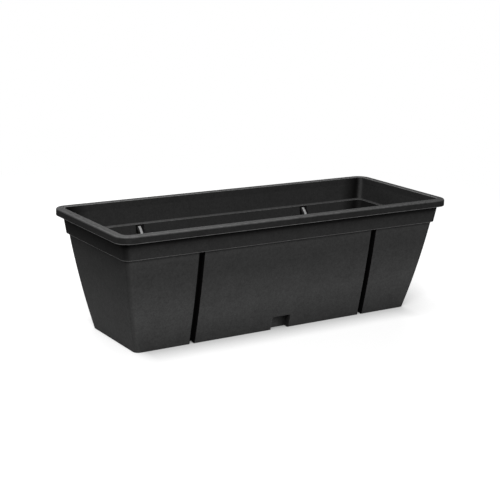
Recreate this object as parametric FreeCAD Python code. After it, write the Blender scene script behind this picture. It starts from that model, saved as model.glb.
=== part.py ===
import FreeCAD, Part
import math
import os

os.makedirs("parts", exist_ok=True)

# A moulded window box: a long open trough with a down-turned lip, a plain band under the lip, and
# slightly crowned walls that taper to the base. Narrow channels for hanging brackets run down the
# front wall, and in line with them down the back wall. Push-in plugs close the drain holes.
# Millimetres. X runs along the length, Y from front to back, Z up. The origin is the centre of the
# base, on the surface that the box stands on. A "half" size is measured from the origin outwards.

# ---- Driving sizes --------------------------------------------------------------------------

# Whole box, over the lip
length = 500.0
width = 194.0
height = 157.0
wall = 2.0                       # walls of the trough, everywhere but the lip and the floor

# Lip: a flat rim with an outer skirt that hangs down round the whole box
lip_reach = 8.5                  # from the band's outside to the skirt's outside, level with its edge
lip_height = 9.5                 # of the skirt's outer face, up to the rim's top
lip_skin = 2.0                   # thickness of the rim and of the skirt
lip_corner_radius = 17.5
lip_shoulder_radius = 2.8        # along the rim's outer top edge
lip_inner_radius = 1.6           # along the rim's inner top edge
lip_edge_radius = 0.5            # along the skirt's lower outer edge

# Band under the lip, a little narrower at its lower edge
band_height = 23.0
band_draft = 3.0
band_corner_radius = 10.0
band_edge_radius = 0.8           # along its lower edge

# Body under the band
step_width = 2.8                 # from the band's lower edge in to the top of the body
ledge_lift = 0.2                 # the inside of that step starts this much above its outside
ledge_rise = 1.6                 # and slopes up by this much, going out
end_lean = 24.7                  # how far an end wall leans in, from the step down to the base
side_lean = 22.7                 # how far the front and back walls lean in, likewise
wall_crown = 1.5                 # how far a wall swells out, halfway up
body_corner_radius = 9.0
base_corner_radius = 7.5
base_edge_radius = 0.6

# Floor and the edge that the box stands on
stand_height = 3.0               # from the standing surface to the underside of the floor
stand_width = 3.0
floor_thickness = 2.4
floor_corner_radius = 4.0        # between the floor and the walls

# Bracket channels: two down the front wall and two down the back wall, open at the foot
channel_x = 132.0                # from the middle of the box to each channel's centre
channel_width = 6.4
channel_depth = 8.0
channel_top_slope = 8.5          # the head of a channel comes down by this much, going in
channel_edge = 0.5               # bevel along each side of the channel's mouth

# Recess in the middle of the front wall's lower edge
recess_width = 26.0
recess_height = 18.0
recess_depth = 8.0
recess_top_slope = 1.5
recess_edge = 0.8

# Drain holes and plugs
drain_radius = 8.0
plug_clearance = 0.05            # between a plug's stem and its hole, on the radius
plug_seat_gap = 0.05             # between a plug's head and the floor
plug_head_radius = 11.5
plug_head_thickness = 2.0
plug_head_edge_radius = 0.6
plug_stem_wall = 1.6
plug_stem_tip = 1.0              # how far a stem reaches past the underside of the floor
plug_stem_chamfer = 0.5
plug_grip_length = 15.0
plug_grip_thickness = 2.4
plug_grip_height = 5.0
plug_grip_edge_radius = 0.8

# ---- Sizes worked out from these -----------------------------------------------------------

overrun = 5.0                    # how far a cutting solid runs past the face that it opens
same_place = 0.01                # two points this close are taken as one

lip_bottom_z = height - lip_height
mouth_half_x = length / 2 - lip_reach - wall
mouth_half_y = width / 2 - lip_reach - wall
step_z = lip_bottom_z - band_height
floor_z = stand_height + floor_thickness
ledge_z = step_z + ledge_lift

band_top_inset = lip_reach
band_bottom_inset = lip_reach + band_draft
body_top_inset = band_bottom_inset + step_width

body_top_half_x = length / 2 - body_top_inset
body_top_half_y = width / 2 - body_top_inset
base_half_x = body_top_half_x - end_lean
base_half_y = body_top_half_y - side_lean

ridge_width = channel_width + 2 * wall
ridge_height = channel_depth + wall
ridge_top_slope = channel_top_slope * ridge_height / channel_depth


# ---- Level outlines and the solids between them --------------------------------------------

def ring(half_x, half_y, radius, z):
    """A level rounded rectangle round the Z axis, as a closed wire."""
    up = FreeCAD.Vector(0, 0, 1)
    edges = []
    for turn, sign_x, sign_y in ((0, 1, 1), (90, -1, 1), (180, -1, -1), (270, 1, -1)):
        centre = FreeCAD.Vector(sign_x * (half_x - radius), sign_y * (half_y - radius), z)
        edges.append(Part.makeCircle(radius, centre, up, turn, turn + 90))
    sides = []
    for corner, after in zip(edges, edges[1:] + edges[:1]):
        sides.append(corner)
        sides.append(Part.makeLine(corner.valueAt(corner.LastParameter), after.valueAt(after.FirstParameter)))
    return Part.Wire(sides)


def between(*rings):
    """The solid that passes through level outlines, straight between two, smooth through more."""
    return Part.makeLoft(list(rings), True, False)


def prism(outline, rise):
    """The upright solid that stands on a level outline."""
    return Part.Face(outline).extrude(FreeCAD.Vector(0, 0, rise))


def level_edges(solid, z, half_x=math.inf, half_y=math.inf):
    """The edges of a solid that lie level at one height, within half_x and half_y of the middle."""
    found = []
    for edge in solid.Edges:
        box = edge.BoundBox
        level = max(abs(box.ZMin - z), abs(box.ZMax - z)) < same_place
        within = max(-box.XMin, box.XMax) < half_x and max(-box.YMin, box.YMax) < half_y
        if level and within:
            found.append(edge)
    return found


# ---- The tapered, crowned wall --------------------------------------------------------------

def swell(z):
    """How far the crown pushes a wall out at this height."""
    share = z / step_z
    return wall_crown * 4 * share * (1 - share)


def body_half_x(z):
    """Half the body's length, outside, at this height."""
    return base_half_x + end_lean * z / step_z + swell(z)


def body_half_y(z):
    """Half the body's width, outside, at this height."""
    return base_half_y + side_lean * z / step_z + swell(z)


def body_radius(z):
    """The body's corner radius, outside, at this height."""
    return base_corner_radius + (body_corner_radius - base_corner_radius) * z / step_z


def body_ring(z, inset):
    """The body's outline at this height, moved in from the outside by inset."""
    return ring(body_half_x(z) - inset, body_half_y(z) - inset, body_radius(z) - inset, z)


def body_solid(bottom_z, top_z, inset):
    """The body from one height to another, moved in from the outside by inset."""
    middle_z = (bottom_z + top_z) / 2
    return between(body_ring(bottom_z, inset), body_ring(middle_z, inset), body_ring(top_z, inset))


def groove(x, side, groove_width, depth, top_z, top_slope):
    """An upright groove in the front wall (side -1) or the back wall (side 1), open below.

    Its floor follows the crowned wall at a constant depth, and its head slopes down going in.
    """
    head_z = top_z - top_slope

    def point(inset, z):
        return FreeCAD.Vector(x - groove_width / 2, side * (body_half_y(z) - inset), z)

    outside = -side_lean - overrun
    low_in = point(depth, -overrun)
    middle_in = point(depth, (head_z - overrun) / 2)
    high_in = point(depth, head_z)
    high_out = point(0, top_z)
    top_out = point(outside, top_z)
    low_out = point(outside, -overrun)
    floor_edge = Part.Arc(low_in, middle_in, high_in).toShape()
    rest = Part.makePolygon([high_in, high_out, top_out, low_out, low_in])
    outline = Part.Wire([floor_edge] + rest.Edges)
    return Part.Face(outline).extrude(FreeCAD.Vector(groove_width, 0, 0))


def groove_bevels(x, side, groove_width, edge, top_z):
    """The two slanting strips that ease a groove's long edges, each as wide as it is deep."""

    def strip(strip_x, inset):
        def point(strip_inset, z):
            return FreeCAD.Vector(strip_x, side * (body_half_y(z) - strip_inset), z)

        wall_edge = Part.Arc(
            point(inset, -overrun), point(inset, (top_z - overrun) / 2), point(inset, top_z)
        ).toShape()
        rest = Part.makePolygon(
            [point(inset, top_z), point(-overrun, top_z), point(-overrun, -overrun), point(inset, -overrun)]
        )
        return Part.Wire([wall_edge] + rest.Edges)

    return [
        Part.makeLoft(
            [
                strip(x + turn * groove_width / 2, edge),
                strip(x + turn * (groove_width / 2 + 2 * edge), -edge),
            ],
            True,
            True,
        )
        for turn in (-1, 1)
    ]


# ---- Trough ---------------------------------------------------------------------------------

def bracket_grooves(groove_width, depth, top_z, top_slope):
    """The four upright grooves of the bracket channels."""
    return [
        groove(x, side, groove_width, depth, top_z, top_slope)
        for x in (-channel_x, channel_x)
        for side in (-1, 1)
    ]


def mouth():
    """The box's opening, from the underside of the lip up through the rim."""
    outline = ring(mouth_half_x, mouth_half_y, band_corner_radius - wall, lip_bottom_z)
    return prism(outline, lip_height + overrun)


def lip_solid():
    """The rim and its hanging skirt, with the hollow under it not yet cut."""
    outline = ring(length / 2, width / 2, lip_corner_radius, lip_bottom_z)
    solid = prism(outline, lip_height)
    solid = solid.makeFillet(lip_shoulder_radius, level_edges(solid, height))
    solid = solid.makeFillet(lip_edge_radius, level_edges(solid, lip_bottom_z)).cut(mouth())
    inner_edges = level_edges(solid, height, mouth_half_x + same_place, mouth_half_y + same_place)
    return solid.makeFillet(lip_inner_radius, inner_edges)


def band_ring(inset, z, extra):
    """An outline of the band, moved in by extra."""
    return ring(length / 2 - inset - extra, width / 2 - inset - extra, band_corner_radius - extra, z)


def band_solid():
    """The band, from its lower edge up to the underside of the rim."""
    solid = between(band_ring(band_bottom_inset, step_z, 0), band_ring(band_top_inset, lip_bottom_z, 0))
    solid = solid.makeFillet(band_edge_radius, level_edges(solid, step_z))
    neck = prism(band_ring(band_top_inset, lip_bottom_z, 0), lip_height - lip_skin)
    return solid.fuse(neck)


def under_lip():
    """The hollow between the skirt and the band, open below."""
    half_x = length / 2 - lip_skin
    half_y = width / 2 - lip_skin
    outer = ring(half_x, half_y, lip_corner_radius - lip_skin, lip_bottom_z)
    return prism(outer, lip_height - lip_skin).cut(band_solid())


def cavity(standing):
    """The soil space, with the walls of the channels and the recess left standing in it."""
    lower = body_solid(floor_z, ledge_z, wall)
    lower = lower.makeFillet(floor_corner_radius, level_edges(lower, floor_z)).cut(standing)
    upper_z = ledge_z + ledge_rise
    ledge = between(body_ring(ledge_z, wall), band_ring(band_bottom_inset, upper_z, wall))
    upper = between(
        band_ring(band_bottom_inset, upper_z, wall),
        band_ring(band_top_inset, lip_bottom_z, wall),
    )
    return lower.fuse([ledge, upper, mouth()])


def stand_pocket():
    """The shallow hollow under the floor, inside the edge that the box stands on."""
    outline = ring(
        base_half_x - stand_width,
        base_half_y - stand_width,
        base_corner_radius - stand_width,
        -overrun,
    )
    return prism(outline, stand_height + overrun)


def drain_places():
    """X of each drain hole: one in the middle of each end bay, two in the bay between."""
    end_wall = body_half_x(floor_z) - wall
    end_bay = (end_wall + channel_x + ridge_width / 2) / 2
    middle_bay = (channel_x - ridge_width / 2) / 2
    return (-end_bay, -middle_bay, middle_bay, end_bay)


def trough():
    outer = body_solid(0, step_z, 0)
    outer = outer.makeFillet(base_edge_radius, level_edges(outer, 0))
    outer = outer.fuse([band_solid(), lip_solid()])

    channels = bracket_grooves(channel_width, channel_depth, step_z, channel_top_slope)
    ridges = bracket_grooves(ridge_width, ridge_height, step_z + wall, ridge_top_slope)
    bevels = groove_bevels(0, -1, recess_width, recess_edge, recess_height)
    for x in (-channel_x, channel_x):
        for side in (-1, 1):
            bevels += groove_bevels(x, side, channel_width, channel_edge, step_z)
    recess = groove(0, -1, recess_width, recess_depth, recess_height, recess_top_slope)
    recess_wall = groove(
        0, -1, recess_width + 2 * wall, recess_depth + wall, recess_height + wall, recess_top_slope
    )
    standing = ridges + [recess_wall]
    soil_space = cavity(standing)
    pocket = stand_pocket().cut(standing)
    drains = [
        Part.makeCylinder(drain_radius, floor_z + overrun, FreeCAD.Vector(x, 0, -overrun))
        for x in drain_places()
    ]
    return outer.cut([soil_space, pocket, under_lip(), recess] + channels + bevels + drains)


# ---- Drain plugs ----------------------------------------------------------------------------

def drain_plug(x):
    """A plug with a flat head, a grip bar on it and a hollow stem in the drain hole."""
    head_z = floor_z + plug_seat_gap
    tip_z = stand_height - plug_stem_tip
    stem_radius = drain_radius - plug_clearance
    head = Part.makeCylinder(plug_head_radius, plug_head_thickness, FreeCAD.Vector(x, 0, head_z))
    head = head.makeFillet(plug_head_edge_radius, level_edges(head, head_z + plug_head_thickness))
    stem = Part.makeCylinder(stem_radius, head_z - tip_z, FreeCAD.Vector(x, 0, tip_z))
    stem = stem.makeChamfer(plug_stem_chamfer, level_edges(stem, tip_z))
    hollow = Part.makeCylinder(stem_radius - plug_stem_wall, head_z - tip_z, FreeCAD.Vector(x, 0, tip_z))
    grip_z = head_z + plug_head_thickness
    grip_corner = FreeCAD.Vector(x - plug_grip_length / 2, -plug_grip_thickness / 2, grip_z)
    grip = Part.makeBox(plug_grip_length, plug_grip_thickness, plug_grip_height, grip_corner)
    grip = grip.makeFillet(plug_grip_edge_radius, level_edges(grip, grip_z + plug_grip_height))
    return head.fuse([stem, grip]).cut(hollow)


# ---- Write each piece -----------------------------------------------------------------------

plug_names = (
    "drain_plug_left_end",
    "drain_plug_left_middle",
    "drain_plug_right_middle",
    "drain_plug_right_end",
)

pieces = {"trough": trough()}
for name, x in zip(plug_names, drain_places()):
    pieces[name] = drain_plug(x)

for name, shape in pieces.items():
    shape.exportStep("parts/" + name + ".step")
    box = shape.BoundBox
    print(name, len(shape.Solids), shape.isValid(), round(shape.Volume / 1000, 2), "cm3",
          round(box.XLength, 2), round(box.YLength, 2), round(box.ZMin, 2), round(box.ZMax, 2))
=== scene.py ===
import math
from collections import namedtuple
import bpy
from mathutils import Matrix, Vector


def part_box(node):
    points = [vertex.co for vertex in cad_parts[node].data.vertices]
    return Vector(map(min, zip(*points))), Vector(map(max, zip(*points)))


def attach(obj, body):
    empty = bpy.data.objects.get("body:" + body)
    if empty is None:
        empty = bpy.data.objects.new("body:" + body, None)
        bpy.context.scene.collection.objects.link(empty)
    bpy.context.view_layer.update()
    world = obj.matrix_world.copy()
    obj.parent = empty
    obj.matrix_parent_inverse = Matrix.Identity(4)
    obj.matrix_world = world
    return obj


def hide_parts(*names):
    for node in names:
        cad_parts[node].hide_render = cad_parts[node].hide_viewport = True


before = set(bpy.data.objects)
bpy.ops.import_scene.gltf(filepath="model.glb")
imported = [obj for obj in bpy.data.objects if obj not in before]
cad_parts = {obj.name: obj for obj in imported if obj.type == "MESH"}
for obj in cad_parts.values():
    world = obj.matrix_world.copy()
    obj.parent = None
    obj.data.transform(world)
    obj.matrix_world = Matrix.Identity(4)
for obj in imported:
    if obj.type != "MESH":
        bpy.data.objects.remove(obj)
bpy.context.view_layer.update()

from types import SimpleNamespace

import bmesh
import bpy
from mathutils import Matrix, Vector

# A moulded window box: one thin shell with a down-turned lip, a plain band under it and slightly
# crowned walls that lean in to the base. Two channels for hanging brackets run down the front wall
# and two down the back wall, and a recess is let into the middle of the front wall's foot. Four
# push-in plugs close the drain holes.
# Metres, in the frame's axes: X along the box, Y from front to back, Z up from what it stands on.

MM = 0.001


# ---- Sizes -----------------------------------------------------------------------------------

box_low, box_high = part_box("trough")
length = box_high.x - box_low.x
width = box_high.y - box_low.y
height = box_high.z - box_low.z
wall = 2.0 * MM

lip_reach = 8.5 * MM             # from the band's outside to the skirt's outside
lip_height = 9.5 * MM
lip_skin = 2.0 * MM
lip_corner = 17.5 * MM
lip_shoulder = 2.2 * MM
lip_inner_shoulder = 0.8 * MM
lip_lower_edge = 0.9 * MM

band_height = 23.0 * MM
band_draft = 3.0 * MM
band_corner = 10.0 * MM
band_edge = 0.8 * MM

step_width = 2.8 * MM
ledge_lift = 0.2 * MM            # the inside of the step starts this much above its outside
ledge_rise = 1.6 * MM
end_lean = 24.7 * MM
side_lean = 22.7 * MM
wall_crown = 1.5 * MM
body_corner = 9.0 * MM
base_corner = 7.5 * MM
base_edge = 0.6 * MM

stand_height = 3.0 * MM
stand_width = 3.0 * MM
floor_thickness = 2.4 * MM
floor_ease = 4.0 * MM            # hollow between the floor and the walls

channel_x = 132.0 * MM
channel_width = 6.4 * MM
channel_depth = 8.0 * MM
channel_top_slope = 8.5 * MM     # the head of a channel comes down by this much, going in
channel_edge = 0.5 * MM
ridge_edge = 4.2 * MM

recess_width = 26.0 * MM
recess_height = 18.0 * MM
recess_depth = 8.0 * MM
recess_top_slope = 1.5 * MM
recess_edge = 1.4 * MM
recess_corner = 1.6 * MM

plug_seat_gap = 0.05 * MM
plug_head_thickness = 2.0 * MM
plug_head_edge = 0.6 * MM
plug_stem_radius = 7.95 * MM
plug_stem_wall = 1.6 * MM
plug_stem_tip = 1.0 * MM
plug_stem_edge = 0.5 * MM
drain_radius = 8.0 * MM
grip_length = 15.0 * MM
grip_thickness = 2.4 * MM
grip_height = 5.0 * MM
grip_edge = 0.8 * MM

small_ease = 0.4 * MM            # radius in corners that only need to lose their sharpness
overrun = 5.0 * MM               # how far a cutting solid runs past the face that it opens
bite = 1.0 * MM                  # how far a solid that is added reaches into the wall that it joins
wall_foot = 0.1 * MM             # the channels' and the recess's walls end this far above the sill
seam_gap = 0.002 * MM            # points closer than this are one point
edge_mark_radius = 1.2 * MM            # edges tighter than this get the most wear and painted highlight
edge_mark_least_bend = math.radians(10)
sharp_bend = math.radians(40)    # a bend from face to face that is at least this isn't smoothed
level_least = 0.99999            # at least this share of a level face's direction is up or down
mouth_slope = math.radians(15)   # at which an eased mouth runs out into the face that it is cut in
mouth_reach = 0.87               # how far past a cut's side that is, against the radius of its edge

arc_step = math.radians(18)      # from point to point of an arc
body_rows = 13                   # from the foot of the walls to the step
trough_steps = (10, 12)          # points round a corner and along a side, here and below
block_steps = (3, 12)
grip_steps = (4, 3)
round_steps = (12, 1)

lip_bottom = height - lip_height
step_z = lip_bottom - band_height
ledge_z = step_z + ledge_lift
floor_z = stand_height + floor_thickness
mouth_inset = lip_reach + wall
band_bottom_inset = lip_reach + band_draft
body_top_inset = band_bottom_inset + step_width
ridge_width = channel_width + 2 * wall
ridge_height = channel_depth + wall


# ---- Camera ----------------------------------------------------------------------------------

def add_camera():
    """A long lens, looking down a little at the front and the left end."""
    turn = math.radians(33.06)
    dip = math.radians(14.21)
    roll = math.radians(1.48)
    ahead = Vector((math.sin(turn) * math.cos(dip), math.cos(turn) * math.cos(dip), -math.sin(dip)))
    level = Vector((math.cos(turn), -math.sin(turn), 0.0))
    above = level.cross(ahead)
    right = level * math.cos(roll) + above * math.sin(roll)
    up = above * math.cos(roll) - level * math.sin(roll)
    data = bpy.data.cameras.new("camera")
    data.sensor_width = 36.0
    data.lens = 86.64
    camera = bpy.data.objects.new("camera", data)
    camera.matrix_world = Matrix((right, up, -ahead)).transposed().to_4x4()
    camera.location = (-0.85443, -1.29803, 0.48570)
    bpy.context.scene.collection.objects.link(camera)
    bpy.context.scene.camera = camera


# ---- Node trees: small helpers ---------------------------------------------------------------

def add_node(tree, kind, *values, **settings):
    """Adds a node. Values go to its inputs in order: a socket is linked, anything else is set."""
    node = tree.nodes.new(kind)
    for name, value in settings.items():
        setattr(node, name, value)
    inputs = [socket for socket in node.inputs if socket.enabled]
    for socket, value in zip(inputs, values):
        if isinstance(value, bpy.types.NodeSocket):
            tree.links.new(value, socket)
        elif value is not None:
            socket.default_value = value
    return node


def result(node):
    """The first output of a node that is in use."""
    return next(socket for socket in node.outputs if socket.enabled)


def number(tree, operation, *values, clamp=False):
    """A number that a maths node works out."""
    return result(add_node(tree, "ShaderNodeMath", *values, operation=operation, use_clamp=clamp))


def whole(tree, operation, *values):
    """The same in whole numbers."""
    return result(add_node(tree, "FunctionNodeIntegerMath", *values, operation=operation))


def vector(tree, operation, *values):
    """The same for vectors."""
    return result(add_node(tree, "ShaderNodeVectorMath", *values, operation=operation))


# ---- Geometry Nodes: a skin through level, rounded rectangles --------------------------------

# One level of a skin: how far in its ends and its sides lie, its height and its corner radius.
Level = namedtuple("Level", "end side height corner")


def level_direction(tree, quarters):
    """The level unit vector that many quarter turns round from +X."""
    angle = number(tree, "MULTIPLY", quarters, math.pi / 2)
    across = number(tree, "COSINE", angle)
    along = number(tree, "SINE", angle)
    return result(add_node(tree, "ShaderNodeCombineXYZ", across, along, 0.0))


def make_loft_tree():
    """Lofts a closed skin through level rounded rectangles.

    The mesh that comes in is a line of points, one for each level: X and Y say how far in from the
    ends and the sides of Length by Width the level lies, Z is its height, and "corner", an
    attribute, is its corner radius. A level of no width closes the skin.
    """
    tree = bpy.data.node_groups.new("loft_round_levels", "GeometryNodeTree")
    tree.is_modifier = True
    tree.interface.new_socket("Geometry", in_out="OUTPUT", socket_type="NodeSocketGeometry")
    for name, kind in (
        ("Geometry", "Geometry"),
        ("Length", "Float"),
        ("Width", "Float"),
        ("Corner Steps", "Int"),
        ("Side Steps", "Int"),
        ("Place", "Vector"),
        ("Material", "Material"),
    ):
        tree.interface.new_socket(name, in_out="INPUT", socket_type="NodeSocket" + kind)
    given = tree.nodes.new("NodeGroupInput").outputs
    line = given["Geometry"]

    size = add_node(tree, "GeometryNodeAttributeDomainSize", line, component="MESH")
    rows = size.outputs["Point Count"]
    per_corner = whole(tree, "ADD", given["Corner Steps"], given["Side Steps"])
    columns = whole(tree, "MULTIPLY_ADD", per_corner, 4, 1)
    grid = add_node(tree, "GeometryNodeMeshGrid", 1.0, 1.0, columns, rows)

    index = result(add_node(tree, "GeometryNodeInputIndex"))
    row = whole(tree, "MODULO", index, rows)
    column = whole(tree, "DIVIDE_FLOOR", index, rows)
    corner = whole(tree, "DIVIDE_FLOOR", column, per_corner)
    step = whole(tree, "MODULO", column, per_corner)
    turned = number(tree, "DIVIDE", step, given["Corner Steps"], clamp=True)
    past_corner = number(tree, "SUBTRACT", step, given["Corner Steps"])
    along = number(tree, "DIVIDE", past_corner, given["Side Steps"], clamp=True)

    outward = level_direction(tree, number(tree, "ADD", corner, turned))
    this_corner = level_direction(tree, number(tree, "ADD", corner, 0.5))
    next_corner = level_direction(tree, number(tree, "ADD", corner, 1.5))
    to_next = vector(tree, "SUBTRACT", next_corner, this_corner)
    side_point = vector(tree, "ADD", this_corner, vector(tree, "SCALE", to_next, along))
    sign = vector(tree, "SCALE", side_point, math.sqrt(2))

    position = result(add_node(tree, "GeometryNodeInputPosition"))
    radius = result(add_node(tree, "GeometryNodeInputNamedAttribute", "corner", data_type="FLOAT"))
    level = result(
        add_node(tree, "GeometryNodeSampleIndex", line, position, row, data_type="FLOAT_VECTOR")
    )
    level_radius = result(
        add_node(tree, "GeometryNodeSampleIndex", line, radius, row, data_type="FLOAT")
    )
    full = result(add_node(tree, "ShaderNodeCombineXYZ", given["Length"], given["Width"], 0.0))
    half = vector(tree, "SUBTRACT", vector(tree, "SCALE", full, 0.5), level)
    corner_centre = vector(tree, "MULTIPLY", vector(tree, "SUBTRACT", half, level_radius), sign)
    outline = vector(tree, "ADD", corner_centre, vector(tree, "SCALE", outward, level_radius))
    rise = vector(tree, "MULTIPLY", level, (0.0, 0.0, 1.0))
    place = vector(tree, "ADD", vector(tree, "ADD", outline, rise), given["Place"])

    shaped = add_node(tree, "GeometryNodeSetPosition", grid.outputs["Mesh"], True, place)
    closed = add_node(tree, "GeometryNodeMergeByDistance", result(shaped), True, seam_gap)
    real = add_node(tree, "GeometryNodeRealizeInstances", result(closed))
    finished = add_node(tree, "GeometryNodeSetMaterial", result(real), True, given["Material"])
    out = tree.nodes.new("NodeGroupOutput")
    tree.links.new(result(finished), out.inputs["Geometry"])
    return tree


loft_tree = make_loft_tree()


def settle(piece):
    """Turns a piece and its modifiers into a plain mesh."""
    graph = bpy.context.evaluated_depsgraph_get()
    mesh = bpy.data.meshes.new_from_object(piece.evaluated_get(graph), depsgraph=graph)
    plain = piece.data
    piece.modifiers.clear()
    piece.data = mesh
    mesh.name = piece.name
    bpy.data.meshes.remove(plain)
    return piece


def loft(name, levels, size, steps, material, place=(0.0, 0.0, 0.0)):
    """A closed mesh through the levels. Steps are the points round a corner and along a side."""
    line = bpy.data.meshes.new(name)
    line.from_pydata(
        [(level.end, level.side, level.height) for level in levels],
        [(i, i + 1) for i in range(len(levels) - 1)],
        [],
    )
    corners = line.attributes.new("corner", "FLOAT", "POINT")
    corners.data.foreach_set("value", [level.corner for level in levels])
    piece = bpy.data.objects.new(name, line)
    bpy.context.scene.collection.objects.link(piece)
    modifier = piece.modifiers.new("loft", "NODES")
    modifier.node_group = loft_tree
    values = {
        "Length": size[0],
        "Width": size[1],
        "Corner Steps": steps[0],
        "Side Steps": steps[1],
        "Place": place,
        "Material": material,
    }
    for socket in loft_tree.interface.items_tree:
        if socket.in_out == "INPUT" and socket.name in values:
            modifier[socket.identifier] = values[socket.name]
    return settle(piece)


# ---- Outlines seen from the side -------------------------------------------------------------

# One turn of an outline: how far in it lies and how high, the corner radius of the level there,
# and the radius of the turn itself.
Turn = namedtuple("Turn", "inset height corner radius", defaults=(0.0, 0.0))


def ease(turns):
    """The line through turns, as (inset, height, corner), with an arc where a turn has a radius."""
    line = [turns[0][:3]]
    for before, turn, after in zip(turns, turns[1:], turns[2:]):
        here = Vector((turn.inset, turn.height, 0.0))
        back = (Vector((before.inset, before.height, 0.0)) - here).normalized()
        on = (Vector((after.inset, after.height, 0.0)) - here).normalized()
        half_angle = back.angle(on) / 2
        sweep = math.pi - 2 * half_angle
        steps = max(2, math.ceil(sweep / arc_step)) if turn.radius else 0
        centre = here + (back + on).normalized() * (turn.radius / math.sin(half_angle))
        first = here + back * (turn.radius / math.tan(half_angle)) - centre
        last = here + on * (turn.radius / math.tan(half_angle)) - centre
        for i in range(steps + 1):
            arm = first.slerp(last, i / steps) * turn.radius if steps else here - centre
            point = centre + arm
            line.append((point.x, point.y, turn.corner + turn.inset - point.x))
    line.append(turns[-1][:3])
    return line


# ---- Trough ----------------------------------------------------------------------------------

def body_inset(z):
    """How far in from the lip's outside the body's front and back stand at this height."""
    share = z / step_z
    return body_top_inset + side_lean * (1 - share) - wall_crown * 4 * share * (1 - share)


def corner_at(z):
    """The body's corner radius at this height."""
    return base_corner + (body_corner - base_corner) * z / step_z


def box_level(inset, z, corner):
    """A level of the trough. The ends lean in more than the sides do, below the step."""
    extra = (end_lean - side_lean) * max(0.0, 1 - z / step_z)
    return Level(inset + extra, inset, z, corner)


def shell_levels():
    """The trough's skin, from the middle of its underside over the lip to that of its floor."""
    heights = [step_z * i / body_rows for i in range(1, body_rows)]
    stand_inset = body_inset(0.0) + stand_width
    outside = [Turn(body_inset(z), z, corner_at(z)) for z in heights]
    inside = [Turn(body_inset(z) + wall, z, corner_at(z) - wall) for z in reversed(heights)]
    turns = [
        Turn(width / 2, stand_height),
        Turn(stand_inset, stand_height, base_corner - stand_width, small_ease),
        Turn(stand_inset, 0.0, base_corner - stand_width, base_edge),
        Turn(body_inset(0.0), 0.0, base_corner, base_edge),
        *outside,
        Turn(body_inset(step_z), step_z, body_corner, small_ease),
        Turn(band_bottom_inset, step_z, band_corner, band_edge),
        Turn(lip_reach, lip_bottom, band_corner),
        Turn(lip_reach, height - lip_skin, band_corner, small_ease),
        Turn(lip_skin, height - lip_skin, lip_corner - lip_skin, small_ease),
        Turn(lip_skin, lip_bottom, lip_corner - lip_skin, lip_lower_edge),
        Turn(0.0, lip_bottom, lip_corner, lip_lower_edge),
        Turn(0.0, height, lip_corner, lip_shoulder),
        Turn(mouth_inset, height, band_corner - wall, lip_inner_shoulder),
        Turn(mouth_inset, lip_bottom, band_corner - wall, band_corner),
        Turn(band_bottom_inset + wall, ledge_z + ledge_rise, band_corner - wall, small_ease),
        Turn(body_inset(ledge_z) + wall, ledge_z, body_corner - wall, lip_inner_shoulder / 2),
        *inside,
        Turn(body_inset(floor_z) + wall, floor_z, corner_at(floor_z) - wall, floor_ease),
        Turn(width / 2, floor_z),
    ]
    return [box_level(*point) for point in ease(turns)]


def cut_turns(short_side, edge, corner, depth):
    """The side view of a cutting block, from outside the wall in to its depth."""
    flare = 2 * edge
    meet = mouth_reach * edge * math.tan(mouth_slope)
    return [
        Turn(short_side / 2, -overrun),
        Turn(-flare, -overrun, corner + flare),
        Turn(-flare, meet - flare * math.tan(mouth_slope), corner + flare),
        Turn(0.0, meet, corner, edge),
        Turn(0.0, depth, corner, small_ease),
        Turn(short_side / 2, depth),
    ]


def raised_turns(short_side, edge, corner, depth):
    """The side view of a block that stands on the inside of a wall."""
    return [
        Turn(short_side / 2, bite),
        Turn(0.0, bite, corner),
        Turn(0.0, depth, corner, edge),
        Turn(short_side / 2, depth),
    ]


def wall_block(name, x, side, size, bottom, top_slope, turns, eased_head):
    """A block laid on the front wall (side -1) or the back wall (side 1), following its crown.

    Size is its width along the wall and its height. Its head comes down by top_slope per depth,
    and the rows of points near the head come down with it, less the lower they lie. A head that
    isn't eased stands straight where the sides flare out at the mouth.
    """
    _, tall = size
    levels = [
        Level(inset, inset if eased_head else max(0.0, inset), depth, corner)
        for inset, depth, corner in ease(turns)
    ]
    block = loft(name, levels, size, block_steps, None)
    zone = min(tall / 2, 2 * channel_top_slope)
    for vertex in block.data.vertices:
        u, v, depth = vertex.co
        share = min(1.0, max(0.0, 1 - (tall / 2 - v) / zone))
        z = bottom + tall / 2 + v - top_slope * max(0.0, depth) * share
        vertex.co = (x + side * u, side * (width / 2 - body_inset(z) - depth), z)
    return block


def join(piece, operation, blocks):
    """Adds the blocks to a piece or cuts them from it, and removes them."""
    group = bpy.data.collections.new(operation)
    for block in blocks:
        group.objects.link(block)
    modifier = piece.modifiers.new(operation, "BOOLEAN")
    modifier.operation = operation
    modifier.solver = "MANIFOLD"
    modifier.operand_type = "COLLECTION"
    modifier.collection = group
    settle(piece)
    for block in blocks:
        bpy.data.objects.remove(block)
    bpy.data.collections.remove(group)
    return piece


def mark_edges(piece):
    """Marks each point for edge wear and a painted highlight: 1 in a tight outer rounding, 0 on
    flats and in hollows.
    """
    shape = bmesh.new()
    shape.from_mesh(piece.data)
    shape.normal_update()
    rubbed = shape.verts.layers.float.new("rubbed")
    for edge in shape.edges:
        bend = edge.calc_face_angle_signed(0.0)
        if bend > edge_mark_least_bend:
            reach = max(face.calc_area() for face in edge.link_faces) / edge.calc_length()
            share = min(1.0, edge_mark_radius * bend / reach) ** 2
            for vertex in edge.verts:
                vertex[rubbed] = max(vertex[rubbed], share)
    for edge in shape.edges:
        if edge.calc_face_angle_signed(0.0) < -edge_mark_least_bend:
            for vertex in edge.verts:
                vertex[rubbed] = 0.0
    shape.to_mesh(piece.data)
    shape.free()


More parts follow.
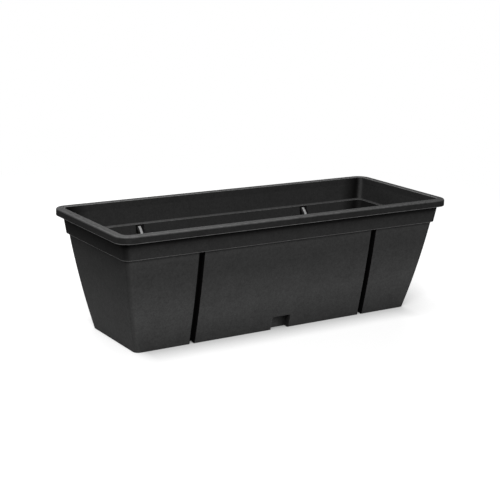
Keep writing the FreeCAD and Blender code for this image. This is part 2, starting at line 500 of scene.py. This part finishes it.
def smooth(piece, material):
    """One material, smooth over gentle bends, sharp at the rest, flat faces kept flat."""
    mark_edges(piece)
    piece.data.materials.clear()
    piece.data.materials.append(material)
    piece.data.shade_smooth()
    for face in piece.data.polygons:
        if abs(face.normal.z) > level_least:
            face.use_smooth = False
    piece.data.set_sharp_from_angle(angle=sharp_bend)
    modifier = piece.modifiers.new("flat_faces", "WEIGHTED_NORMAL")
    modifier.keep_sharp = True
    return settle(piece)


def make_trough(material):
    """The box: a shell, with the ridges and the recess's walls added and the hollows cut out."""
    trough = loft("window_box_trough", shell_levels(), (length, width), trough_steps, material)
    slope = recess_top_slope / recess_depth
    tall = recess_height + wall - wall_foot
    raised = [wall_block(
        "recess_wall", 0.0, -1, (recess_width + 2 * wall, tall), wall_foot, slope,
        raised_turns(tall, wall, recess_corner + wall, recess_depth + wall), eased_head=True,
    )]
    tall = recess_height + overrun
    cut = [wall_block(
        "recess", 0.0, -1, (recess_width, tall), -overrun, slope,
        cut_turns(tall, recess_edge, recess_corner, recess_depth), eased_head=True,
    )]

    slope = channel_top_slope / channel_depth
    ridge_size = (ridge_width, step_z + wall - wall_foot)
    channel_size = (channel_width, step_z - small_ease + overrun)
    for x in (-channel_x, channel_x):
        for side in (-1, 1):
            raised.append(wall_block(
                "ridge", x, side, ridge_size, wall_foot, slope,
                raised_turns(ridge_width, ridge_edge, ridge_edge, ridge_height),
                eased_head=True,
            ))
            cut.append(wall_block(
                "channel", x, side, channel_size, -overrun, slope,
                cut_turns(channel_width, channel_edge, small_ease, channel_depth),
                eased_head=False,
            ))
    cut.extend(drain(x) for x in drain_places())
    join(trough, "UNION", raised)
    join(trough, "DIFFERENCE", cut)
    return smooth(trough, material)


# ---- Drain holes and plugs -------------------------------------------------------------------

plug_nodes = [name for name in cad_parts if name.startswith("drain_plug")]


def drain_places():
    """X of each drain hole, in the middle of its plug."""
    boxes = [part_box(name) for name in plug_nodes]
    return [(low.x + high.x) / 2 for low, high in boxes]


def round_levels(radius, turns):
    """Levels for a round piece, from turns that give the inset from its largest radius."""
    return [Level(inset, inset, z, radius - inset) for inset, z, _ in ease(turns)]


def drain(x):
    """What is cut out of the floor for a plug: a round bar that runs past it, both ways."""
    turns = [
        Turn(drain_radius, -overrun),
        Turn(0.0, -overrun),
        Turn(0.0, floor_z + overrun),
        Turn(drain_radius, floor_z + overrun),
    ]
    size = (2 * drain_radius, 2 * drain_radius)
    return loft("drain", round_levels(drain_radius, turns), size, round_steps, None, (x, 0.0, 0.0))


def make_plug(node, material):
    """A push-in plug: a flat round head with a grip bar on it and a hollow stem under it."""
    low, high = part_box(node)
    radius = (high.x - low.x) / 2
    x = (high.x + low.x) / 2
    seat = floor_z + plug_seat_gap
    tip = stand_height - plug_stem_tip
    head_top = seat + plug_head_thickness
    stem = radius - plug_stem_radius
    bore = stem + plug_stem_wall
    turns = [
        Turn(radius, seat),
        Turn(bore, seat),
        Turn(bore, tip),
        Turn(stem, tip, 0.0, plug_stem_edge),
        Turn(stem, seat),
        Turn(0.0, seat),
        Turn(0.0, head_top, 0.0, plug_head_edge),
        Turn(radius, head_top),
    ]
    place = (x, 0.0, 0.0)
    plug = loft(node.replace("drain_", "") + "_piece", round_levels(radius, turns),
                (2 * radius, 2 * radius), round_steps, material, place)
    grip_turns = [
        Turn(grip_thickness / 2, head_top - plug_head_edge),
        Turn(0.0, head_top - plug_head_edge, grip_thickness / 2),
        Turn(0.0, head_top + grip_height, grip_thickness / 2, grip_edge),
        Turn(grip_thickness / 2, head_top + grip_height),
    ]
    grip_levels = [Level(inset, inset, z, corner) for inset, z, corner in ease(grip_turns)]
    grip = loft("grip", grip_levels, (grip_length, grip_thickness), grip_steps, material, place)
    join(plug, "UNION", [grip])
    return smooth(plug, material)


# ---- Materials -------------------------------------------------------------------------------

gloss_level = 0.01                # how much light it mirrors, where plain smooth plastic has 0.5
wear_and_highlight_paler = 0.11               # added to the colour of a fully marked edge: wear and a painted highlight
rubbed_glossier = 0.10            # taken off its roughness
edge_mark_least = 0.4                  # the wear and painted highlight on an edge run from this, as the mottle goes, to this much more
edge_mark_spread = 1.2                 # to this much more

# Patches that make the plastic uneven: their sizes, and how much of the colour each one carries.
cloud_size, cloud_share = 22.0 * MM, 0.22
mottle_size, mottle_share = 5.0 * MM, 0.38
speck_size, speck_share = 2.0 * MM, 0.50
even_share = 0.45                 # the part of the colour that is the same all over
roughness_spread = 0.12
grain_strength = 0.35
grain_depth = 0.08 * MM

# How pale the trough's outside is at each share of the walls' height: its colour with painted
# light and shade that change with height as light falls, and a painted shadow right under the lip.
lip_tone_with_painted_shadow = (
    (1.0, 0.022),
    ((lip_bottom - 8.0 * MM) / step_z, 0.021),
    ((lip_bottom - 4.0 * MM) / step_z, 0.009),
    ((lip_bottom - 0.1 * MM) / step_z, 0.0),
    (lip_bottom / step_z, 0.015),
    (height / step_z, 0.015),
)
side_tone_with_painted_light = (
    (0.0, 0.028),
    (0.06, 0.033),
    (0.22, 0.041),
    (0.38, 0.045),
    (0.66, 0.034),
    (0.78, 0.029),
    (0.92, 0.029),
    (0.995, 0.034),
) + lip_tone_with_painted_shadow
# The ends have painted light and shade of their own, for the way light falls on them.
end_tone_with_painted_light = (
    (0.0, 0.043),
    (0.15, 0.045),
    (0.30, 0.041),
    (0.52, 0.036),
    (0.74, 0.028),
    (0.85, 0.024),
    (0.94, 0.020),
    (0.995, 0.021),
) + lip_tone_with_painted_shadow
band_end_painted_shadow = (0.62, 0.28)    # painted shadow on the band's ends, at its foot and its head, against its sides

# Painted shade round the outer corners, by how far they have turned to the end: 0 faces the front,
# 1 faces the end.
outer_corner_painted_shade = ((0.0, 1.0), (0.35, 1.02), (0.6, 0.85), (0.85, 0.74), (0.95, 0.95), (0.97, 1.0))
side_to_end = (0.1, 0.9)          # the walls' painted light and shade go over from the side's to the end's here, and the painted shadow on the band's ends comes in here
band_to_end = (0.05, 0.5)         # and the band's here
outward_least = 10.0 * MM         # how far out an outside face lies at least, the way it faces

# Inside, paler towards the floor: painted light where little light gets in.
inside_tone_with_painted_light = ((0.0, 0.050), (0.6, 0.042), (0.9, 0.024), (height / step_z, 0.023))
corner_painted_highlight = 2.0                # a painted highlight in the inner corners above the step
corner_turn = (0.3, 0.5)          # X times Y of a face's direction, where that begins and is full
corner_shade_span = (-36.0 * MM, -12.0 * MM)  # from the end, where painted shade on the side walls inside comes in
corner_painted_shade = 0.20                 # how pale that painted shade leaves them, against their middle
end_painted_shade = 0.45                    # painted shade on the inside of the ends, just below the step, the same way
end_shade_rise = (0.7, 0.9)         # over these shares of the walls' height that painted shade comes in

# Painted light on the tops, palest as a painted highlight near the front left corner, by how far
# they lie from that corner. Widths count for more than lengths.
top_painted_light = ((0.0, 0.085), (0.06, 0.074), (0.25, 0.062), (0.38, 0.050), (0.58, 0.045))
top_width_weight = 1.5
top_turn = (0.45, 0.8)            # how far a face looks up, where a top begins and is full

crown_highlight_offset = 1.5 * MM      # how far left of the ridge's middle the painted highlight runs
crown_highlight_width = 4.2 * MM       # it fades out over the outer half of this
crown_highlight_top = 2.0 * MM         # below the step
crown_painted_highlight = 0.30                # a painted highlight down the head of each ridge
head_painted_shade = 0.004                # painted shade on the rest of the head
head_reach = 14.0 * MM            # how far down from the step that shade runs
head_in = 0.6 * wall              # how far in from the wall's outside a head begins
head_ease = wall / 2              # that shade runs this far past the ridge's sides

# Painted shade inside the channels.
channel_painted_shade = 0.002
mouth_ease = 1.0 * MM             # the channels' painted shade runs this far out round their mouths
recess_painted_light_and_shade = (0.060, 0.010)    # painted light at its left side and painted shade at its right side
let_in_reach = channel_depth + wall / 8  # how far in from the wall's outside they lie at most
let_in_least = 0.2                # how much a face in them looks out, down or to their middle

plug_pale = 0.050


def object_place(tree):
    """Where a point lies in its own object's axes."""
    return tree.nodes.new("ShaderNodeTexCoord").outputs["Object"]


def noise(tree, size, detail=2.0):
    """Noise about 0.5, in patches of this size."""
    node = add_node(tree, "ShaderNodeTexNoise")
    tree.links.new(object_place(tree), node.inputs["Vector"])
    node.inputs["Scale"].default_value = 1 / size
    node.inputs["Detail"].default_value = detail
    return node.outputs["Fac"]


def mix_number(tree, share, first, second):
    """First where the share is 0, second where it is 1."""
    return result(add_node(tree, "ShaderNodeMix", share, first, second, data_type="FLOAT"))


def between(tree, value, span, first=0.0, last=1.0, **settings):
    """A number that goes from first to last as the value goes through the span."""
    return result(add_node(tree, "ShaderNodeMapRange", value, *span, first, last, **settings))


def stepped(tree, value, stops):
    """A number that runs straight from stop to stop, each a value and the number there."""
    last = stops[-1][0]
    node = add_node(tree, "ShaderNodeValToRGB", number(tree, "DIVIDE", value, last))
    ramp = node.color_ramp
    for place, _ in stops[1:-1]:
        ramp.elements.new(place / last)
    for element, (_, shade) in zip(ramp.elements, stops):
        element.color = (shade, shade, shade, 1.0)
    return result(node)


def both(tree, *shares):
    """1 where every share is 1."""
    product = shares[0]
    for share in shares[1:]:
        product = number(tree, "MULTIPLY", product, share)
    return product


def trough_point(tree):
    """Where a point of the trough lies, which way it faces, and what the shades need of both."""
    at = SimpleNamespace()
    at.place = object_place(tree)
    at.facing = tree.nodes.new("ShaderNodeTexCoord").outputs["Normal"]
    at.x, at.y, at.z = add_node(tree, "ShaderNodeSeparateXYZ", at.place).outputs
    at.facing_x, at.facing_y, at.facing_up = add_node(
        tree, "ShaderNodeSeparateXYZ", at.facing
    ).outputs
    at.to_end = number(tree, "ABSOLUTE", at.facing_x)
    at.is_end = between(tree, at.to_end, side_to_end)
    at.share_up = number(tree, "DIVIDE", at.z, step_z)
    at.below_step = number(tree, "LESS_THAN", at.z, step_z)

    at.end_sign = number(tree, "SIGN", at.x)
    at.from_middle = number(tree, "ABSOLUTE", at.x)
    at.from_channel = number(tree, "SUBTRACT", at.from_middle, channel_x)
    at.off_channel = number(tree, "ABSOLUTE", at.from_channel)
    # How far out from the outside of the side walls, as if they stood upright: inside is below 0.
    upright = number(tree, "MULTIPLY_ADD", at.z, -side_lean / step_z,
                     number(tree, "ABSOLUTE", at.y))
    at.from_side = number(tree, "SUBTRACT", upright, width / 2 - body_top_inset - side_lean)
    return at


def outside_shade(tree, at):
    """The walls, the band and the lip, seen from outside, with their painted light and shade."""
    sides = stepped(tree, at.share_up, side_tone_with_painted_light)
    ends = stepped(tree, at.share_up, end_tone_with_painted_light)
    shade = mix_number(tree, at.is_end, sides, ends)
    shade = number(tree, "MULTIPLY", shade, stepped(tree, at.to_end, outer_corner_painted_shade))
    in_band_end_shadow = both(
        tree,
        between(tree, at.to_end, band_to_end),
        number(tree, "SUBTRACT", 1.0, at.below_step),
        number(tree, "LESS_THAN", at.z, lip_bottom),
    )
    band_end_shadow = between(tree, at.z, (step_z, lip_bottom), *band_end_painted_shadow)
    return number(tree, "MULTIPLY", shade, mix_number(tree, in_band_end_shadow, 1.0, band_end_shadow))


def inside_shade(tree, at):
    """The inside of the walls and of the floor: painted light low down, a painted highlight in the
    inner corners above the step, and painted shade beside them and inside the ends just below the
    step.
    """
    in_corner = number(tree, "MULTIPLY", at.to_end, number(tree, "ABSOLUTE", at.facing_y))
    corner_highlight = between(tree, in_corner, corner_turn, 1.0, corner_painted_highlight)
    # How far out from the outside of the ends, in the same way.
    upright = number(tree, "MULTIPLY_ADD", at.z, -end_lean / step_z, at.from_middle)
    from_end = number(tree, "SUBTRACT", upright, length / 2 - body_top_inset - end_lean)
    corner_shade = between(tree, from_end, corner_shade_span, 1.0, corner_painted_shade)
    above = number(tree, "MULTIPLY", mix_number(tree, at.is_end, corner_shade, 1.0), corner_highlight)
    end_shade = between(tree, at.share_up, end_shade_rise, 1.0, end_painted_shade)
    below = mix_number(tree, at.is_end, corner_shade, end_shade)
    return number(tree, "MULTIPLY", stepped(tree, at.share_up, inside_tone_with_painted_light),
                  mix_number(tree, at.below_step, above, below))


def paint_light_on_tops(tree, at, shade):
    """Paints light on the rim and the ledge, with a painted highlight near the front left corner,
    and leaves the floor as it is.
    """
    weight = Vector((1.0, top_width_weight, 0.0))
    corner = Vector((length / 2, width / 2, 0.0)) * weight
    off_corner = vector(tree, "MULTIPLY_ADD", at.place, weight, corner)
    top = stepped(tree, vector(tree, "LENGTH", off_corner), top_painted_light)
    on_top = both(
        tree, between(tree, at.facing_up, top_turn),
        number(tree, "GREATER_THAN", at.z, step_z / 2),
    )
    return mix_number(tree, on_top, shade, top)


def paint_ridge_head_light(tree, at, shade):
    """Paints shade on the heads of the ridges inside, and a highlight down each."""
    beside = number(tree, "MULTIPLY_ADD", at.end_sign, at.from_channel, crown_highlight_offset)
    in_crown_highlight = between(tree, number(tree, "ABSOLUTE", beside),
                     (crown_highlight_width / 4, crown_highlight_width / 2), 1.0, 0.0)
    in_crown_highlight = both(tree, in_crown_highlight, number(tree, "LESS_THAN", at.z, step_z - crown_highlight_top))
    on_head = both(
        tree, at.below_step,
        number(tree, "GREATER_THAN", at.z, step_z - head_reach),
        number(tree, "LESS_THAN", at.off_channel, ridge_width / 2 + head_ease),
        number(tree, "LESS_THAN", at.from_side, -head_in),
    )
    return mix_number(tree, on_head, shade, mix_number(tree, in_crown_highlight, head_painted_shade, crown_painted_highlight))


def paint_shade_in_let_in(tree, at, shade):
    """Paints shade into the channels, and light and shade into the recess. Gives the shade, and
    where it is one of them.
    """
    out_of_wall = number(tree, "MULTIPLY", number(tree, "SIGN", at.y), at.facing_y)
    out_and_down = number(tree, "SUBTRACT", out_of_wall, at.facing_up)
    to_end = number(tree, "MULTIPLY", at.end_sign, at.facing_x)
    to_channel = number(tree, "MULTIPLY", number(tree, "SIGN", at.from_channel), to_end)
    near_wall = number(tree, "GREATER_THAN", at.from_side, -let_in_reach)
    in_channel = both(
        tree, near_wall, at.below_step,
        number(tree, "LESS_THAN", at.off_channel, channel_width / 2 + mouth_ease),
        number(tree, "GREATER_THAN", number(tree, "SUBTRACT", out_and_down, to_channel),
               let_in_least),
    )
    in_recess = both(
        tree, near_wall, number(tree, "LESS_THAN", at.y, 0.0),
        number(tree, "LESS_THAN", at.z, recess_height),
        number(tree, "LESS_THAN", at.from_middle, recess_width / 2 + recess_edge),
        number(tree, "GREATER_THAN", number(tree, "SUBTRACT", out_and_down, to_end),
               let_in_least),
    )
    recess = between(tree, at.x, (-recess_width / 2, recess_width / 2), *recess_painted_light_and_shade)
    shade = mix_number(tree, in_channel, shade, channel_painted_shade)
    shade = mix_number(tree, in_recess, shade, recess)
    return shade, number(tree, "MAXIMUM", in_channel, in_recess)


def trough_shade(tree):
    """How pale the trough is, as one number, with its painted light and shade, and where it lies in
    painted shade.
    """
    at = trough_point(tree)
    level = vector(tree, "MULTIPLY", at.place, (1.0, 1.0, 0.0))
    outward = add_node(tree, "ShaderNodeVectorMath", level, at.facing, operation="DOT_PRODUCT")
    is_outside = number(tree, "GREATER_THAN", outward.outputs["Value"], outward_least)
    shade = mix_number(tree, is_outside, inside_shade(tree, at), outside_shade(tree, at))
    shade = paint_light_on_tops(tree, at, shade)
    shade = paint_ridge_head_light(tree, at, shade)
    return paint_shade_in_let_in(tree, at, shade)


def plug_shade(tree):
    """The plugs are equally pale all over, and nowhere in painted shade."""
    return plug_pale, 0.0


def moulded_plastic(name, make_shade, roughness, grain_size):
    """Matt moulded plastic: a fine grain from the tool, uneven gloss, and edges made paler by wear
    and a painted highlight.
    """
    material = bpy.data.materials.new(name)
    material.use_nodes = True
    tree = material.node_tree
    shader = tree.nodes["Principled BSDF"]

    cloud = noise(tree, cloud_size)
    mottle = noise(tree, mottle_size)
    speck = noise(tree, speck_size, detail=1.0)
    grain = noise(tree, grain_size)
    edge = add_node(tree, "ShaderNodeAttribute", attribute_name="rubbed").outputs["Fac"]
    shade, in_painted_shade = make_shade(tree)
    wear_and_highlight = number(tree, "MULTIPLY", edge,
                  number(tree, "MULTIPLY_ADD", mottle, edge_mark_spread, edge_mark_least))
    # No edge wear or painted highlight in the painted shade of the channels and the recess.
    wear_and_highlight = number(tree, "MULTIPLY", wear_and_highlight, number(tree, "SUBTRACT", 1.0, in_painted_shade))

    uneven = number(tree, "MULTIPLY_ADD", cloud, cloud_share, even_share)
    uneven = number(tree, "MULTIPLY_ADD", mottle, mottle_share, uneven)
    uneven = number(tree, "MULTIPLY_ADD", speck, speck_share, uneven)
    shade = number(tree, "MULTIPLY", shade, uneven)
    # Edges paler: wear and a painted highlight.
    shade = number(tree, "MULTIPLY_ADD", wear_and_highlight, wear_and_highlight_paler, shade)
    tree.links.new(shade, shader.inputs["Base Color"])
    rough = number(tree, "MULTIPLY_ADD", mottle, roughness_spread,
                   roughness - roughness_spread / 2)
    rough = number(tree, "MULTIPLY_ADD", wear_and_highlight, -rubbed_glossier, rough)
    tree.links.new(rough, shader.inputs["Roughness"])
    shader.inputs["Specular IOR Level"].default_value = gloss_level

    bump = add_node(tree, "ShaderNodeBump")
    bump.inputs["Strength"].default_value = grain_strength
    bump.inputs["Distance"].default_value = grain_depth
    tree.links.new(grain, bump.inputs["Height"])
    tree.links.new(bump.outputs["Normal"], shader.inputs["Normal"])
    return material


# ---- Floor, background and light -------------------------------------------------------------

white = (1.0, 1.0, 1.0, 1.0)
floor_size = 60.0
floor_pale = 0.82
floor_shown = 0.45                # how much of its light is seen, so that a shadow on it is faint
floor_lift = 0.64                 # light that the floor adds, so that it reads as white
floor_white = (0.35, 1.1)         # from the middle, where it goes over into plain white
floor_contact = 44.0 * MM         # how far from the box that light begins to fade
floor_contact_right = 100.0 * MM  # the same past the right end, where the shadow runs out wider
floor_clear = 0.23                # how much of that fading is left out along the sides
floor_clear_left = 0.85           # the same past the left end, on the lamp's side
past_right_end = (0.18, 0.26)     # where along X the right end's fading comes in,
past_left_end = (-0.195, -0.215)  # and the left end's
openness_samples = 16
world_light = 0.05
middle = Vector((0.0, 0.0, 0.0))  # of the box's base


def seen_directly(tree):
    """1 for a ray from the camera, or one that a glossy or clear surface passes on, else 0."""
    path = tree.nodes.new("ShaderNodeLightPath").outputs
    seen = number(tree, "MAXIMUM", path["Is Camera Ray"], path["Is Glossy Ray"])
    return number(tree, "MAXIMUM", seen, path["Is Transmission Ray"])


def add_floor():
    """A pale floor that reads as white, and keeps the shadow under and beside the box."""
    bpy.ops.mesh.primitive_plane_add(size=floor_size, location=(0.0, 0.0, 0.0))
    floor = bpy.context.object
    floor.name = "studio_floor"
    material = bpy.data.materials.new("studio_floor")
    material.use_nodes = True
    tree = material.node_tree
    tree.nodes.clear()
    seen = seen_directly(tree)
    where = object_place(tree)
    x = add_node(tree, "ShaderNodeSeparateXYZ", where).outputs["X"]
    openness = add_node(tree, "ShaderNodeAmbientOcclusion", samples=openness_samples)
    reach = between(tree, x, past_right_end, floor_contact, floor_contact_right)
    tree.links.new(reach, openness.inputs["Distance"])
    clear = between(tree, x, past_left_end, floor_clear, floor_clear_left)
    open_share = mix_number(tree, clear, openness.outputs["AO"], 1.0)
    lift = number(tree, "MULTIPLY", seen, number(tree, "MULTIPLY", open_share, floor_lift))
    shown = number(tree, "MULTIPLY", open_share, floor_shown)
    plain = add_node(tree, "ShaderNodeBsdfDiffuse", mix_number(tree, seen, floor_pale, shown))
    glow = add_node(tree, "ShaderNodeEmission", white, lift)
    near = add_node(tree, "ShaderNodeAddShader", result(plain), result(glow))
    far = add_node(tree, "ShaderNodeEmission", white, 1.0)
    away = between(tree, vector(tree, "LENGTH", where), floor_white,
                   interpolation_type="SMOOTHSTEP")
    whole_floor = add_node(tree, "ShaderNodeMixShader", number(tree, "MULTIPLY", seen, away),
                           result(near), result(far))
    out = tree.nodes.new("ShaderNodeOutputMaterial")
    tree.links.new(result(whole_floor), out.inputs["Surface"])
    floor.data.materials.append(material)


def add_world():
    """White where it is seen, and a low even light on everything."""
    world = bpy.data.worlds.new("studio")
    bpy.context.scene.world = world
    world.use_nodes = True
    tree = world.node_tree
    background = tree.nodes["Background"]
    background.inputs["Color"].default_value = white
    strength = number(tree, "MULTIPLY_ADD", seen_directly(tree), 1.0 - world_light, world_light)
    tree.links.new(strength, background.inputs["Strength"])


def add_lamp(name, place, size, power):
    """A soft lamp that points at the box and isn't seen itself."""
    data = bpy.data.lights.new(name, "AREA")
    data.shape = "RECTANGLE"
    data.size, data.size_y = size
    data.energy = power
    lamp = bpy.data.objects.new(name, data)
    lamp.location = place
    lamp.visible_camera = False
    lamp.rotation_euler = (middle - Vector(place)).to_track_quat("-Z", "Y").to_euler()
    bpy.context.scene.collection.objects.link(lamp)


# ---- Put it together -------------------------------------------------------------------------

bpy.context.scene.view_settings.view_transform = "Standard"
add_camera()
add_floor()
add_world()
add_lamp("key_softbox", (-1.3, -1.95, 2.1), size=(1.8, 1.3), power=111.0)
add_lamp("fill_softbox", (1.4, 1.7, 1.5), size=(1.6, 1.2), power=35.0)
add_lamp("back_strip", (0.0, 1.4, 0.5), size=(1.0, 0.3), power=13.0)

trough_plastic = moulded_plastic(
    "matt_anthracite_plastic", trough_shade, roughness=0.80, grain_size=0.5 * MM
)
plug_plastic = moulded_plastic(
    "satin_black_plastic", plug_shade, roughness=0.45, grain_size=0.4 * MM
)

trough = make_trough(trough_plastic)
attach(trough, "trough")
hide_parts("trough")

for node in plug_nodes:
    plug = make_plug(node, plug_plastic)
    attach(plug, node.replace("drain_", ""))
    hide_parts(node)
